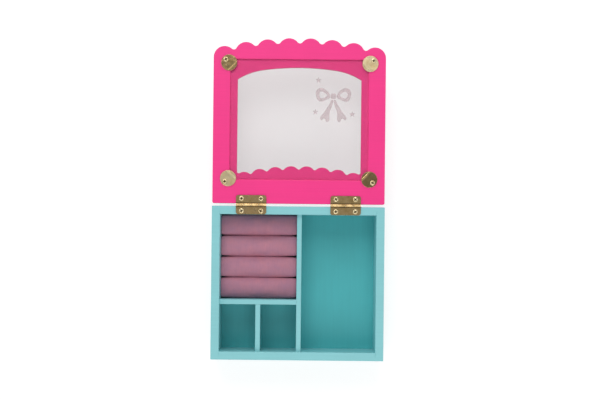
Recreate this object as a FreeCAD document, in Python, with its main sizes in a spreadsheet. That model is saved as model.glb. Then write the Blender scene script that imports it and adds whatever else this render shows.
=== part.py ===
"""Jewellery box with a window lid: painted board, velvet ring rolls, a clear pane and brass hardware.

Millimetres, +Z up. The origin is the middle of the underside of the box and the hinges are at the back,
on +Y. The lid is drawn as it lies when it is swung right over, level with the rim behind the box.
"""

import FreeCAD, Part
import math
import os

import Sketcher

DIMENSIONS = (
    ("box_width", 173.0, "outside width of the box"),
    ("box_depth", 154.0, "outside depth of the box, front to back"),
    ("box_height", 54.0, "height of the rim"),
    ("wall_thickness", 8.2, "thickness of the four walls"),
    ("corner_rabbet", 4.2, "how far the side walls reach into the front and back walls"),
    ("floor_thickness", 4.0, "thickness of the floor panel"),
    ("floor_rabbet", 3.6, "how far the floor panel reaches into the walls"),
    ("floor_gap", 0.1, "clearance round the floor panel"),
    ("edge_easing", 0.5, "rounding of the board edges"),
    ("divider_thickness", 4.8, "thickness of the three dividers"),
    ("divider_drop", 5.0, "how far the dividers stop below the rim"),
    ("ring_bay_width", 77.2, "inside width of the bay of the ring rolls"),
    ("roll_pitch", 21.3, "spacing of the ring rolls"),
    ("roll_height", 27.0, "height of the ring rolls at their crown"),
    ("roll_gap", 0.15, "clearance round each ring roll"),
    ("roll_room", 0.4, "room between the last ring roll and the divider"),
    ("roll_crown", 24.0, "radius of the flat crown of a ring roll"),
    ("roll_shoulder", 4.0, "radius of the shoulders of a ring roll"),
    ("roll_end_draw", 1.4, "how far the cover is drawn in at the end of a ring roll"),
    ("roll_end_round", 3.0, "length over which the end of a ring roll is rounded"),
    ("lid_inset", 0.3, "side of the box to the side of the lid"),
    ("lid_overhang", 11.8, "how far the crest of the closed lid stands past the front of the box"),
    ("lid_corner", 1.6, "radius of the lid corners at the hinge edge"),
    ("face_thickness", 6.0, "thickness of the outer board of the lid"),
    ("frame_thickness", 3.0, "thickness of the inner frame of the lid"),
    ("scallop_radius", 11.0, "radius of the scallops of the lid"),
    ("scallop_valley", 3.0, "radius between the scallops of the lid"),
    ("scallop_pitch", 21.5, "spacing of the scallops of the lid, before they are spread to its width"),
    ("scallop_arch", 334.0, "radius of the arch that carries the scallops of the lid"),
    ("side_rail", 16.8, "width of the side rails of the inner frame"),
    ("hinge_rail", 23.7, "width of the rail of the inner frame at the hinges"),
    ("front_rail", 21.1, "opening for the pane to the crest of the scallops"),
    ("pane_gap", 0.5, "clearance round the pane"),
    ("pane_drop", 0.2, "how far the pane lies below the face of the inner frame"),
    ("pane_lift", 0.1, "gap between the pane and the outer board of the lid"),
    ("window_side", 7.4, "side of the opening for the pane to the side of the window"),
    ("window_head", 8.1, "end of the opening for the pane to the top of the window"),
    ("window_rise", 12.0, "height of the window's arch"),
    ("window_haunch", 66.0, "radius of the two ends of the window's arch"),
    ("sill_rise", 14.1, "hinge end of the opening for the pane to the crest of the window's sill"),
    ("sill_radius", 9.0, "radius of the scallops of the sill"),
    ("sill_valley", 2.0, "radius between the scallops of the sill"),
    ("sill_pitch", 15.6, "spacing of the scallops of the sill, before they are spread to its width"),
    ("sill_arch", 242.0, "radius of the arch that carries the scallops of the sill"),
    ("sill_margin", 7.4, "side of the window to the centre of the first scallop of the sill"),
    ("hinge_inset", 39.25, "side of the box to the middle of a hinge"),
    ("hinge_width", 30.4, "length of a hinge along its pin"),
    ("hinge_gap", 1.3, "back of the box, or edge of the lid, to the hinge pin"),
    ("leaf_reach", 9.6, "pin to the far edge of a hinge leaf"),
    ("leaf_thickness", 0.8, "thickness of a hinge leaf"),
    ("leaf_gap", 0.5, "gap between the leaves of a closed hinge"),
    ("leaf_corner", 2.4, "radius of the outer corners of a hinge leaf"),
    ("pin_radius", 0.7, "radius of a hinge pin"),
    ("knuckle_wall", 0.7, "thickness of the metal rolled round the pin"),
    ("knuckle_gap", 0.2, "gap between two knuckles"),
    ("notch_gap", 0.3, "gap between a knuckle and the leaf behind it"),
    ("running_gap", 0.05, "clearance of pins and screws in their holes"),
    ("screw_pitch", 19.5, "spacing of the two screws of a leaf"),
    ("screw_row", 6.2, "hinge pin to the screws of a leaf"),
    ("screw_length", 8.0, "length of a wood screw over its flat head"),
    ("screw_shank", 1.2, "radius of a wood screw"),
    ("screw_head", 2.6, "radius of a screw head"),
    ("screw_crown", 0.2, "rise of the oval top of a screw head"),
    ("screw_tip", 2.0, "length of the point of a wood screw"),
    ("cross_length", 3.2, "length of the cross slot of a screw"),
    ("cross_width", 0.7, "width of the cross slot of a screw"),
    ("cross_depth", 0.6, "depth of the cross slot of a screw"),
    ("button_radius", 8.0, "radius of a turn button"),
    ("button_thickness", 0.8, "thickness of a turn button"),
    ("button_lift", 0.1, "gap between a turn button and the inner frame"),
    ("button_offset", 4.6, "screw of a turn button to the middle of its disc"),
    ("button_easing", 0.25, "rounding of the rim of a turn button"),
    ("button_side", 4.5, "side of the pane opening to the screw of a turn button"),
    ("button_near_end", 2.0, "hinge end of the pane opening to the screws outside it"),
    ("button_far_end", 0.8, "far end of the pane opening back to the screws beside it"),
    ("bead_offset", 5.0, "middle of a turn button to the bead pressed across it"),
    ("bead_width", 2.2, "width of the bead"),
    ("bead_height", 0.4, "height of the bead"),
    ("bead_inset", 0.3, "ends of the bead to the rim of the turn button"),
)

ROLL_COUNT = 4
KNUCKLE_COUNT = 4
# The middle of the window's arch is flatter than one plain arc over the same span would be.
WINDOW_FLATNESS = 1.566
# The numbers by which a sketch knows the points of a curve.
START, END, CENTRE = range(1, 4)

doc = FreeCAD.newDocument("JewelleryBox")
sheet = doc.addObject("Spreadsheet::Sheet", "dims")
for row, (alias, millimetres, meaning) in enumerate(DIMENSIONS, 1):
    sheet.set(f"A{row}", meaning)
    sheet.set(f"B{row}", str(millimetres))
    sheet.setAlias(f"B{row}", alias)
doc.recompute()


class Size:
    """A length that holds its number and the expression over the sheet that gives it."""

    def __init__(self, number, text):
        self.number = number
        self.text = text

    def __add__(self, other):
        other = as_size(other)
        return Size(self.number + other.number, f"({self.text} + {other.text})")

    def __sub__(self, other):
        other = as_size(other)
        return Size(self.number - other.number, f"({self.text} - {other.text})")

    def __mul__(self, other):
        other = as_size(other)
        return Size(self.number * other.number, f"({self.text} * {other.text})")

    def __truediv__(self, other):
        other = as_size(other)
        return Size(self.number / other.number, f"({self.text} / {other.text})")

    def __neg__(self):
        return self * -1

    def squared(self):
        return self * self

    def root(self):
        return Size(math.sqrt(self.number), f"sqrt({self.text})")


def as_size(length):
    """A Size as it is, or a plain number as a Size."""
    return length if isinstance(length, Size) else Size(length, repr(length))


class Sizes:
    """The driving dimensions of the sheet, by name."""

    def __init__(self):
        for alias, millimetres, _ in DIMENSIONS:
            setattr(self, alias, Size(millimetres, f"dims.{alias}"))


size = Sizes()
half_width = size.box_width / 2
half_depth = size.box_depth / 2
inside_x = half_width - size.wall_thickness
inside_y = half_depth - size.wall_thickness
divider_left = size.ring_bay_width - inside_x
divider_right = divider_left + size.divider_thickness
cross_back = inside_y - size.roll_pitch * ROLL_COUNT - size.roll_room
cross_front = cross_back - size.divider_thickness
lid_edge = half_depth + size.hinge_gap * 2
lid_half = half_width - size.lid_inset
lid_depth = size.box_depth + size.lid_overhang
opening_half = lid_half - size.side_rail
opening_far = lid_depth - size.front_rail
pin_y = half_depth + size.hinge_gap
pin_rise = size.leaf_thickness + size.leaf_gap / 2
knuckle_radius = size.pin_radius + size.running_gap + size.knuckle_wall
hinge_x = half_width - size.hinge_inset
first_screw_x = -(hinge_x + size.screw_pitch / 2)
lid_screw_y = size.screw_row - size.hinge_gap
pilot_radius = size.screw_shank + size.running_gap
head_clearance = size.screw_head + size.running_gap
button_x = opening_half + size.button_side
button_near = size.hinge_rail - size.button_near_end
button_far = opening_far - size.button_far_end

nodes = []


def new_body(label, x=0.0, y=0.0, z=0.0, turn=0.0):
    """A body for one node, with its origin at x, y, z and turned about Z by some degrees."""
    body = doc.addObject("PartDesign::Body", label)
    body.Label = label
    body.Placement = FreeCAD.Placement(FreeCAD.Vector(), FreeCAD.Rotation(turn, 0, 0))
    for axis, place in zip("xyz", (x, y, z)):
        body.setExpression(f"Placement.Base.{axis}", as_size(place).text)
    nodes.append(body)
    return body


def origin_feature(body, role):
    """One of a body's own planes or axes."""
    return next(feature for feature in body.Origin.OriginFeatures if feature.Role == role)


def new_sketch(body, name, plane="XY_Plane", along=0.0, out=0.0):
    """A sketch on one of a body's planes, moved along its own X and out along its normal."""
    sketch = body.newObject("Sketcher::SketchObject", name)
    sketch.AttachmentSupport = [(origin_feature(body, plane), "")]
    sketch.MapMode = "FlatFace"
    sketch.setExpression("AttachmentOffset.Base.x", as_size(along).text)
    sketch.setExpression("AttachmentOffset.Base.z", as_size(out).text)
    return sketch


def constrain(sketch, size_of_it, kind, *where):
    """Add a dimension whose value follows the sheet."""
    size_of_it = as_size(size_of_it)
    index = sketch.addConstraint(Sketcher.Constraint(kind, *where, size_of_it.number))
    sketch.setExpression(f"Constraints[{index}]", size_of_it.text)


def pin(sketch, curve, point, x=None, y=None):
    """Tie a point of a curve to its place from the sketch's origin."""
    if x is not None:
        constrain(sketch, x, "DistanceX", -1, 1, curve, point)
    if y is not None:
        constrain(sketch, y, "DistanceY", -1, 1, curve, point)


def join(sketch, first, first_point, second, second_point, kind="Coincident"):
    """Join the ends of two curves, smoothly where the kind is Tangent."""
    sketch.addConstraint(Sketcher.Constraint(kind, first, first_point, second, second_point))


def flat(point):
    """The numbers of a point whose coordinates are sizes or numbers."""
    return FreeCAD.Vector(as_size(point[0]).number, as_size(point[1]).number, 0)


def add_line(sketch, start, end):
    return sketch.addGeometry(Part.LineSegment(flat(start), flat(end)), False)


def add_arc(sketch, centre, radius, start, end):
    """An arc drawn anticlockwise from start to end, with its radius bound to the sheet."""
    middle = flat(centre)
    first = flat(start) - middle
    last = flat(end) - middle
    first_angle = math.atan2(first.y, first.x)
    last_angle = math.atan2(last.y, last.x)
    if last_angle <= first_angle:
        last_angle += 2 * math.pi
    circle = Part.Circle(middle, FreeCAD.Vector(0, 0, 1), radius.number)
    curve = sketch.addGeometry(Part.ArcOfCircle(circle, first_angle, last_angle), False)
    constrain(sketch, radius, "Radius", curve)
    return curve


def add_circle(sketch, x, y, radius):
    circle = Part.Circle(flat((x, y)), FreeCAD.Vector(0, 0, 1), radius.number)
    curve = sketch.addGeometry(circle, False)
    constrain(sketch, radius, "Radius", curve)
    pin(sketch, curve, CENTRE, x, y)


def add_polygon(sketch, corners):
    """A closed outline of straight lines through corners that follow the sheet."""
    curves = [add_line(sketch, corner, following)
              for corner, following in zip(corners, corners[1:] + corners[:1])]
    for curve, following, corner in zip(curves, curves[1:] + curves[:1], corners):
        join(sketch, curve, END, following, START)
        pin(sketch, curve, START, *corner)


def add_rectangle(sketch, left, front, right, back):
    add_polygon(sketch, [(left, front), (right, front), (right, back), (left, back)])


def pad(body, sketch, length, down=False):
    """Raise a sketch along its normal, or against it."""
    feature = body.newObject("PartDesign::Pad", f"{sketch.Name}_pad")
    feature.Profile = sketch
    feature.Reversed = down
    feature.setExpression("Length", as_size(length).text)
    doc.recompute()
    return feature


def check_cut(body, volume_before):
    """Stop if a cut took nothing away."""
    doc.recompute()
    if body.Shape.Volume >= volume_before - 1e-6:
        raise RuntimeError(f"{body.Tip.Label} cuts nothing")


def pocket(body, sketch, depth=None, up=False):
    """Cut a sketch down into the body, or up into it, to a depth or right through."""
    volume_before = body.Shape.Volume
    feature = body.newObject("PartDesign::Pocket", f"{sketch.Name}_pocket")
    feature.Profile = sketch
    feature.Reversed = up
    if depth is None:
        feature.Type = "ThroughAll"
    else:
        feature.setExpression("Length", as_size(depth).text)
    check_cut(body, volume_before)
    return feature


def turned(body, sketch, kind):
    """Turn a profile once round its sketch's vertical axis, to add it or to cut it."""
    volume_before = body.Shape.Volume if body.Tip else 0.0
    feature = body.newObject(f"PartDesign::{kind}", f"{sketch.Name}_{kind.lower()}")
    feature.Profile = sketch
    feature.ReferenceAxis = (sketch, ["V_Axis"])
    feature.Angle = 360
    doc.recompute()
    if kind == "Groove":
        check_cut(body, volume_before)
    return feature


def round_edges(body, name, radius, chosen):
    """Round the edges whose two ends and middle all pass a test."""
    base = body.Tip
    edges = [f"Edge{index}" for index, edge in enumerate(base.Shape.Edges, 1)
             if all(chosen(point) for point in edge.discretize(3))]
    feature = body.newObject("PartDesign::Fillet", name)
    feature.Base = (base, edges)
    feature.setExpression("Radius", as_size(radius).text)
    doc.recompute()
    return feature


def near(number, length):
    """Whether a number is a size, to a thousandth."""
    return abs(number - as_size(length).number) < 1e-3


def front_or_back_wall(label, facing):
    """A wall over the whole width, rabbeted at its ends for the side walls and below for the floor."""
    outer = half_depth * facing
    inner = inside_y * facing
    rabbet = (inside_y + size.corner_rabbet) * facing
    body = new_body(label)
    outline = new_sketch(body, f"{label}_outline")
    add_polygon(outline, [
        (-half_width, outer), (half_width, outer), (half_width, rabbet), (inside_x, rabbet),
        (inside_x, inner), (-inside_x, inner), (-inside_x, rabbet), (-half_width, rabbet),
    ])
    pad(body, outline, size.box_height)
    seat = new_sketch(body, f"{label}_floor_seat")
    seat_x = inside_x + size.floor_rabbet
    add_rectangle(seat, -seat_x, inner, seat_x, (inside_y + size.floor_rabbet) * facing)
    pocket(body, seat, size.floor_thickness, up=True)

    def shows(point):
        on_rim = near(point.z, size.box_height)
        at_end = near(abs(point.x), half_width)
        outside = near(point.y, outer)
        return (at_end and outside) or (on_rim and (at_end or outside or near(point.y, inner)))

    round_edges(body, f"{label}_easing", size.edge_easing, shows)
    return body


def side_wall(label, side):
    """A wall between the front and back walls, rabbeted below for the floor."""
    inner = inside_x * side
    outer = half_width * side
    end = inside_y + size.corner_rabbet
    body = new_body(label)
    outline = new_sketch(body, f"{label}_outline")
    add_rectangle(outline, inner, -end, outer, end)
    pad(body, outline, size.box_height)
    seat = new_sketch(body, f"{label}_floor_seat")
    add_rectangle(seat, inner, -end, (inside_x + size.floor_rabbet) * side, end)
    pocket(body, seat, size.floor_thickness, up=True)
    round_edges(body, f"{label}_easing", size.edge_easing,
                lambda point: near(point.z, size.box_height)
                and (near(point.x, outer) or near(point.x, inner)))


def drill(body, name, places, depth, out=0.0):
    """Drill the same screw hole down at several places."""
    holes = new_sketch(body, name, out=out)
    for x, y in places:
        add_circle(holes, x, y, pilot_radius)
    pocket(body, holes, depth)


def hinge_screw_places(y):
    """The four screws of one row of hinge leaves."""
    return [(hinge_x * hinge + size.screw_pitch / 2 * end, y)
            for hinge in (-1, 1) for end in (-1, 1)]


def floor_panel():
    reach_x = inside_x + size.floor_rabbet - size.floor_gap
    reach_y = inside_y + size.floor_rabbet - size.floor_gap
    body = new_body("floor_panel")
    outline = new_sketch(body, "floor_outline")
    add_rectangle(outline, -reach_x, -reach_y, reach_x, reach_y)
    pad(body, outline, size.floor_thickness - size.floor_gap)


def divider(label, left, front, right, back):
    """An upright board on the floor, with its top edges eased along its length."""
    body = new_body(label, z=size.floor_thickness)
    outline = new_sketch(body, f"{label}_outline")
    add_rectangle(outline, left, front, right, back)
    height = size.box_height - size.divider_drop - size.floor_thickness
    pad(body, outline, height)
    runs_back = back.number - front.number > right.number - left.number

    def long_top_edge(point):
        across = (point.x, left, right) if runs_back else (point.y, front, back)
        return near(point.z, height) and (near(across[0], across[1]) or near(across[0], across[2]))

    round_edges(body, f"{label}_easing", size.edge_easing, long_top_edge)


def roll_section(body, name, out, draw):
    """A section of a ring roll: straight sides, round shoulders and a flat crown, all drawn in alike."""
    half = size.roll_pitch / 2 - size.roll_gap - draw
    top = size.roll_height - draw
    crown_centre = (Size(0.0, "0"), top - size.roll_crown)
    shoulder_x = half - size.roll_shoulder
    lift = ((size.roll_crown - size.roll_shoulder).squared() - shoulder_x.squared()).root()
    shoulder_y = crown_centre[1] + lift
    share = size.roll_crown / (size.roll_crown - size.roll_shoulder)
    meet = (shoulder_x * share, crown_centre[1] + lift * share)
    sketch = new_sketch(body, name, "YZ_Plane", out=out)
    base = add_line(sketch, (-half, 0), (half, 0))
    right = add_line(sketch, (half, 0), (half, shoulder_y))
    right_shoulder = add_arc(sketch, (shoulder_x, shoulder_y), size.roll_shoulder, (half, shoulder_y), meet)
    crown = add_arc(sketch, crown_centre, size.roll_crown, meet, (-meet[0], meet[1]))
    left_shoulder = add_arc(sketch, (-shoulder_x, shoulder_y), size.roll_shoulder,
                            (-meet[0], meet[1]), (-half, shoulder_y))
    left = add_line(sketch, (-half, shoulder_y), (-half, 0))
    pin(sketch, base, START, -half, 0)
    pin(sketch, base, END, half, 0)
    join(sketch, base, END, right, START)
    join(sketch, left, END, base, START)
    for side in (left, right):
        sketch.addConstraint(Sketcher.Constraint("Vertical", side))
    smooth = [right, right_shoulder, crown, left_shoulder, left]
    for curve, following in zip(smooth, smooth[1:]):
        join(sketch, curve, END, following, START, "Tangent")
    pin(sketch, crown, CENTRE, *crown_centre)
    return sketch


def ring_roll(number):
    """One velvet-covered roll, lying across its bay and drawn in at both ends."""
    label = f"ring_roll_{number}"
    middle = inside_y - size.roll_pitch * (number - 0.5)
    body = new_body(label, size.roll_gap - inside_x, middle, size.floor_thickness)
    length = size.ring_bay_width - size.roll_gap * 2
    whole = Size(0.0, "0")
    stations = [
        (whole, size.roll_end_draw),
        (size.roll_end_round / 3, size.roll_end_draw / 3),
        (size.roll_end_round, whole),
        (length - size.roll_end_round, whole),
        (length - size.roll_end_round / 3, size.roll_end_draw / 3),
        (length, size.roll_end_draw),
    ]
    sections = [roll_section(body, f"{label}_section_{index}", out, draw)
                for index, (out, draw) in enumerate(stations, 1)]
    loft = body.newObject("PartDesign::AdditiveLoft", f"{label}_loft")
    loft.Profile = sections[0]
    loft.Sections = sections[1:]
    loft.Ruled = True
    doc.recompute()


def lid_body(label):
    """A body of the lid: X across, Y away from the hinge edge, Z = 0 on the inner face."""
    return new_body(label, 0, lid_edge, size.box_height)


def scallop_centres(end_x, pitch, crest, arch, radius):
    """The centres of a row of scallops on a shallow arch, from left to right, about a pitch apart."""
    steps = round(2 * end_x.number / pitch.number)
    centres = []
    for index in range(steps + 1):
        x = end_x * (2 * index / steps - 1)
        sag = arch - (arch.squared() - x.squared()).root()
        centres.append((x, crest - radius - sag))
    return centres


def between(first, second, share):
    """The point at a share of the way between two points, as numbers."""
    start = flat(first)
    step = flat(second) - start
    return (start.x + step.x * share, start.y + step.y * share)


def valley_centre(left, right, reach):
    """The centre, as numbers, of the hollow that touches two scallops from above."""
    start = flat(left)
    step = flat(right) - start
    height = math.sqrt(reach ** 2 - (step.Length / 2) ** 2)
    middle = between(left, right, 0.5)
    return (middle[0] - step.y / step.Length * height, middle[1] + step.x / step.Length * height)


def add_scallops(sketch, centres, radius, valley, first_touch, last_touch):
    """Scallops joined by hollows that touch them smoothly; gives the first and the last scallop."""
    reach = radius.number + valley.number
    share = radius.number / reach
    hollows = [valley_centre(left, right, reach) for left, right in zip(centres, centres[1:])]
    left_touches = [first_touch]
    right_touches = []
    for hollow, left, right in zip(hollows, centres, centres[1:]):
        right_touches.append(between(left, hollow, share))
        left_touches.append(between(right, hollow, share))
    right_touches.append(last_touch)
    scallops = [add_arc(sketch, centre, radius, right, left)
                for centre, right, left in zip(centres, right_touches, left_touches)]
    for index, hollow in enumerate(hollows):
        curve = add_arc(sketch, hollow, valley, right_touches[index], left_touches[index + 1])
        join(sketch, scallops[index], START, curve, START, "Tangent")
        join(sketch, curve, END, scallops[index + 1], END, "Tangent")
    return scallops


def lid_outline(body, name, out):
    """The outline of the lid: straight at the hinges and sides, scalloped along its front edge."""
    sketch = new_sketch(body, name, out=out)
    end_x = lid_half - size.scallop_radius
    centres = scallop_centres(end_x, size.scallop_pitch, lid_depth, size.scallop_arch, size.scallop_radius)
    side_top = centres[0][1]
    scallops = add_scallops(sketch, centres, size.scallop_radius, size.scallop_valley,
                            (-lid_half, side_top), (lid_half, side_top))
    for index, (scallop, (x, y)) in enumerate(zip(scallops, centres)):
        at_end = index in (0, len(scallops) - 1)
        pin(sketch, scallop, CENTRE, None if at_end else x, y)
    hinge_edge = add_line(sketch, (-lid_half, 0), (lid_half, 0))
    right = add_line(sketch, (lid_half, 0), (lid_half, side_top))
    left = add_line(sketch, (-lid_half, side_top), (-lid_half, 0))
    pin(sketch, hinge_edge, START, -lid_half, 0)
    pin(sketch, hinge_edge, END, lid_half, 0)
    join(sketch, hinge_edge, END, right, START)
    join(sketch, left, END, hinge_edge, START)
    for side in (left, right):
        sketch.addConstraint(Sketcher.Constraint("Vertical", side))
    join(sketch, right, END, scallops[-1], START, "Tangent")
    join(sketch, scallops[0], END, left, START, "Tangent")
    return sketch


def window_outline(body, out):
    """The outline of the window: straight sides, a three-centred arch and a scalloped sill."""
    sketch = new_sketch(body, "window_outline", out=out)
    half = opening_half - size.window_side
    crest = opening_far - size.window_head
    spring_y = crest - size.window_rise
    crown_radius = (half.squared() + size.window_rise.squared()) / (size.window_rise * 2) * WINDOW_FLATNESS
    radius = size.sill_radius
    valley = size.sill_valley
    centres = scallop_centres(half - size.sill_margin, size.sill_pitch, size.hinge_rail + size.sill_rise,
                              size.sill_arch, radius)
    reach = (radius + valley).number
    corner_x = (half - valley).number
    corner_y = flat(centres[0]).y + math.sqrt(reach ** 2 - (corner_x - flat(centres[-1]).x) ** 2)
    left_corner = (-corner_x, corner_y)
    right_corner = (corner_x, corner_y)
    share = radius.number / reach
    left_touch = between(centres[0], left_corner, share)
    right_touch = between(centres[-1], right_corner, share)
    scallops = add_scallops(sketch, centres, radius, valley, left_touch, right_touch)
    for scallop, centre in zip(scallops, centres):
        pin(sketch, scallop, CENTRE, *centre)
    left_fillet = add_arc(sketch, left_corner, valley, (-half, corner_y), left_touch)
    right_fillet = add_arc(sketch, right_corner, valley, right_touch, (half, corner_y))
    right = add_line(sketch, (half, corner_y), (half, spring_y))
    left = add_line(sketch, (-half, spring_y), (-half, corner_y))

    crown_y = crest - crown_radius
    spring = FreeCAD.Vector(half.number, (spring_y - crown_y).number, 0)
    arm = (crown_radius - size.window_haunch).number
    haunch = size.window_haunch.number
    along = (arm ** 2 - haunch ** 2 + spring.Length ** 2) / (2 * spring.Length)
    aside = math.sqrt(arm ** 2 - along ** 2)
    haunch_x = (spring.x * along - spring.y * aside) / spring.Length
    haunch_y = (spring.y * along + spring.x * aside) / spring.Length
    stretch = crown_radius.number / arm
    meet = (haunch_x * stretch, haunch_y * stretch + crown_y.number)
    haunch_level = haunch_y + crown_y.number
    right_haunch = add_arc(sketch, (haunch_x, haunch_level), size.window_haunch, (half, spring_y), meet)
    crown = add_arc(sketch, (0, crown_y), crown_radius, meet, (-meet[0], meet[1]))
    left_haunch = add_arc(sketch, (-haunch_x, haunch_level), size.window_haunch,
                          (-meet[0], meet[1]), (-half, spring_y))

    pin(sketch, crown, CENTRE, 0, crown_y)
    pin(sketch, right, END, half, spring_y)
    pin(sketch, left, START, -half, spring_y)
    for side in (left, right):
        sketch.addConstraint(Sketcher.Constraint("Vertical", side))
    join(sketch, right, END, right_haunch, START)
    join(sketch, left_haunch, END, left, START)
    smooth = [
        (right_haunch, END, crown, START), (crown, END, left_haunch, START),
        (left, END, left_fillet, START), (left_fillet, END, scallops[0], END),
        (scallops[-1], START, right_fillet, START), (right_fillet, END, right, START),
    ]
    for ends in smooth:
        join(sketch, *ends, "Tangent")
    return sketch


def round_lid_corners(body, name):
    """Round the two upright corners at the hinge edge."""
    round_edges(body, name, size.lid_corner,
                lambda point: near(point.y, 0) and near(abs(point.x), lid_half))


def button_screw_places():
    return [(button_x * side, y) for y in (button_near, button_far) for side in (-1, 1)]


def lid_face_board():
    """The outer board of the lid, with its window and the blind holes for the screws."""
    top = -size.frame_thickness
    bottom = top - size.face_thickness
    body = lid_body("lid_face_board")
    pad(body, lid_outline(body, "face_outline", top), size.face_thickness, down=True)
    round_lid_corners(body, "face_corners")
    pocket(body, window_outline(body, top))
    round_edges(body, "face_easing", size.edge_easing, lambda point: near(point.z, bottom))
    bite = size.screw_length - size.frame_thickness + size.running_gap
    drill(body, "face_hinge_holes", hinge_screw_places(lid_screw_y), bite - size.leaf_thickness, top)
    drill(body, "face_button_holes", button_screw_places(),
          bite - size.button_thickness - size.button_lift, top)


def lid_back_frame():
    """The inner frame of the lid, with the opening that holds the pane."""
    body = lid_body("lid_back_frame")
    pad(body, lid_outline(body, "frame_outline", 0.0), size.frame_thickness, down=True)
    round_lid_corners(body, "frame_corners")
    opening = new_sketch(body, "pane_opening_outline")
    add_rectangle(opening, -opening_half, size.hinge_rail, opening_half, opening_far)
    pocket(body, opening)
    round_edges(body, "frame_easing", size.edge_easing, lambda point: near(point.z, 0))
    drill(body, "frame_screw_holes", hinge_screw_places(lid_screw_y) + button_screw_places(), None)


def window_pane():
    """The clear pane, lying over the window inside the frame."""
    body = lid_body("window_pane")
    outline = new_sketch(body, "pane_outline", out=size.pane_lift - size.frame_thickness)
    add_rectangle(outline, size.pane_gap - opening_half, size.hinge_rail + size.pane_gap,
                  opening_half - size.pane_gap, opening_far - size.pane_gap)
    pad(body, outline, size.frame_thickness - size.pane_lift - size.pane_drop)


def hinge_body(label, side):
    """A body of a hinge: X along the pin, Z = 0 at the pin."""
    return new_body(label, hinge_x * side, pin_y, size.box_height + pin_rise)


def hinge_leaf(label, side, away, first_knuckle):
    """A flat leaf with two rolled knuckles, notched for the other leaf, and two countersunk holes."""
    body = hinge_body(label, side)
    top = size.leaf_gap / -2
    notch = (knuckle_radius + size.notch_gap) * away
    bounds = [size.hinge_width * (index / KNUCKLE_COUNT - 0.5) for index in range(KNUCKLE_COUNT + 1)]
    own = [index % 2 == first_knuckle for index in range(KNUCKLE_COUNT)]
    for index in range(1, KNUCKLE_COUNT):
        bounds[index] = bounds[index] + size.knuckle_gap / (-2 if own[index - 1] else 2)
    corners = [(bounds[0], size.leaf_reach * away), (bounds[-1], size.leaf_reach * away)]
    for index in reversed(range(KNUCKLE_COUNT)):
        level = Size(0.0, "0") if own[index] else notch
        corners += [(bounds[index + 1], level), (bounds[index], level)]
    outline = new_sketch(body, f"{label}_outline", out=top)
    add_polygon(outline, corners)
    pad(body, outline, size.leaf_thickness, down=True)
    round_edges(body, f"{label}_corners", size.leaf_corner,
                lambda point: near(point.y, size.leaf_reach * away)
                and near(abs(point.x), size.hinge_width / 2))
    for index in range(KNUCKLE_COUNT):
        if own[index]:
            knuckle = new_sketch(body, f"{label}_knuckle_{index + 1}", "YZ_Plane", out=bounds[index])
            add_circle(knuckle, 0, 0, knuckle_radius)
            pad(body, knuckle, bounds[index + 1] - bounds[index])
    bore = new_sketch(body, f"{label}_bore", "YZ_Plane", out=size.hinge_width / -2)
    add_circle(bore, 0, 0, size.pin_radius + size.running_gap)
    pocket(body, bore, up=True)
    sink = new_sketch(body, f"{label}_sink", "XZ_Plane", along=size.screw_pitch / 2,
                      out=-size.screw_row * away)
    bottom = top - size.leaf_thickness
    add_polygon(sink, [(0, bottom), (pilot_radius, bottom), (head_clearance, top), (0, top)])
    groove = turned(body, sink, "Groove")
    mirrored = body.newObject("PartDesign::Mirrored", f"{label}_second_hole")
    mirrored.Originals = [groove]
    mirrored.MirrorPlane = (origin_feature(body, "YZ_Plane"), [""])
    body.Tip = mirrored
    doc.recompute()


def hinge_pin(label, side):
    body = hinge_body(label, side)
    section = new_sketch(body, f"{label}_section", "YZ_Plane", out=size.hinge_width / -2)
    add_circle(section, 0, 0, size.pin_radius)
    pad(body, section, size.hinge_width)


def screw_group(label, x, y, top, head_depth, steps):
    """Countersunk wood screws with oval heads and cross slots, repeated by two steps."""
    body = new_body(label, x, y, top)
    profile = new_sketch(body, f"{label}_profile", "XZ_Plane")
    crown_radius = (size.screw_head.squared() + size.screw_crown.squared()) / (size.screw_crown * 2)
    crown_centre = (Size(0.0, "0"), size.screw_crown - crown_radius)
    corners = [(size.screw_head, 0), (size.screw_shank, -head_depth),
               (size.screw_shank, size.screw_tip - size.screw_length), (0, -size.screw_length),
               (0, size.screw_crown)]
    lines = [add_line(profile, corner, following) for corner, following in zip(corners, corners[1:])]
    crown = add_arc(profile, crown_centre, crown_radius, corners[0], corners[-1])
    for line, following, corner in zip(lines, lines[1:], corners):
        join(profile, line, END, following, START)
        pin(profile, line, START, *corner)
    pin(profile, lines[-1], START, *corners[-2])
    pin(profile, lines[-1], END, *corners[-1])
    join(profile, lines[-1], END, crown, END)
    join(profile, crown, START, lines[0], START)
    screw = turned(body, profile, "Revolution")
    arm = size.cross_length / 2
    web = size.cross_width / 2
    slot = new_sketch(body, f"{label}_slot", out=size.screw_crown)
    add_polygon(slot, [(arm, -web), (arm, web), (web, web), (web, arm), (-web, arm), (-web, web),
                       (-arm, web), (-arm, -web), (-web, -web), (-web, -arm), (web, -arm), (web, -web)])
    cross = pocket(body, slot, size.cross_depth)
    pattern = body.newObject("PartDesign::LinearPattern", f"{label}_pattern")
    pattern.Originals = [screw, cross]
    for suffix, (axis, step) in zip(("", "2"), steps):
        setattr(pattern, f"Direction{suffix}", (origin_feature(body, axis), [""]))
        setattr(pattern, f"Occurrences{suffix}", 2)
        pattern.setExpression(f"Length{suffix}", step.text)
    body.Tip = pattern
    doc.recompute()


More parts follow.
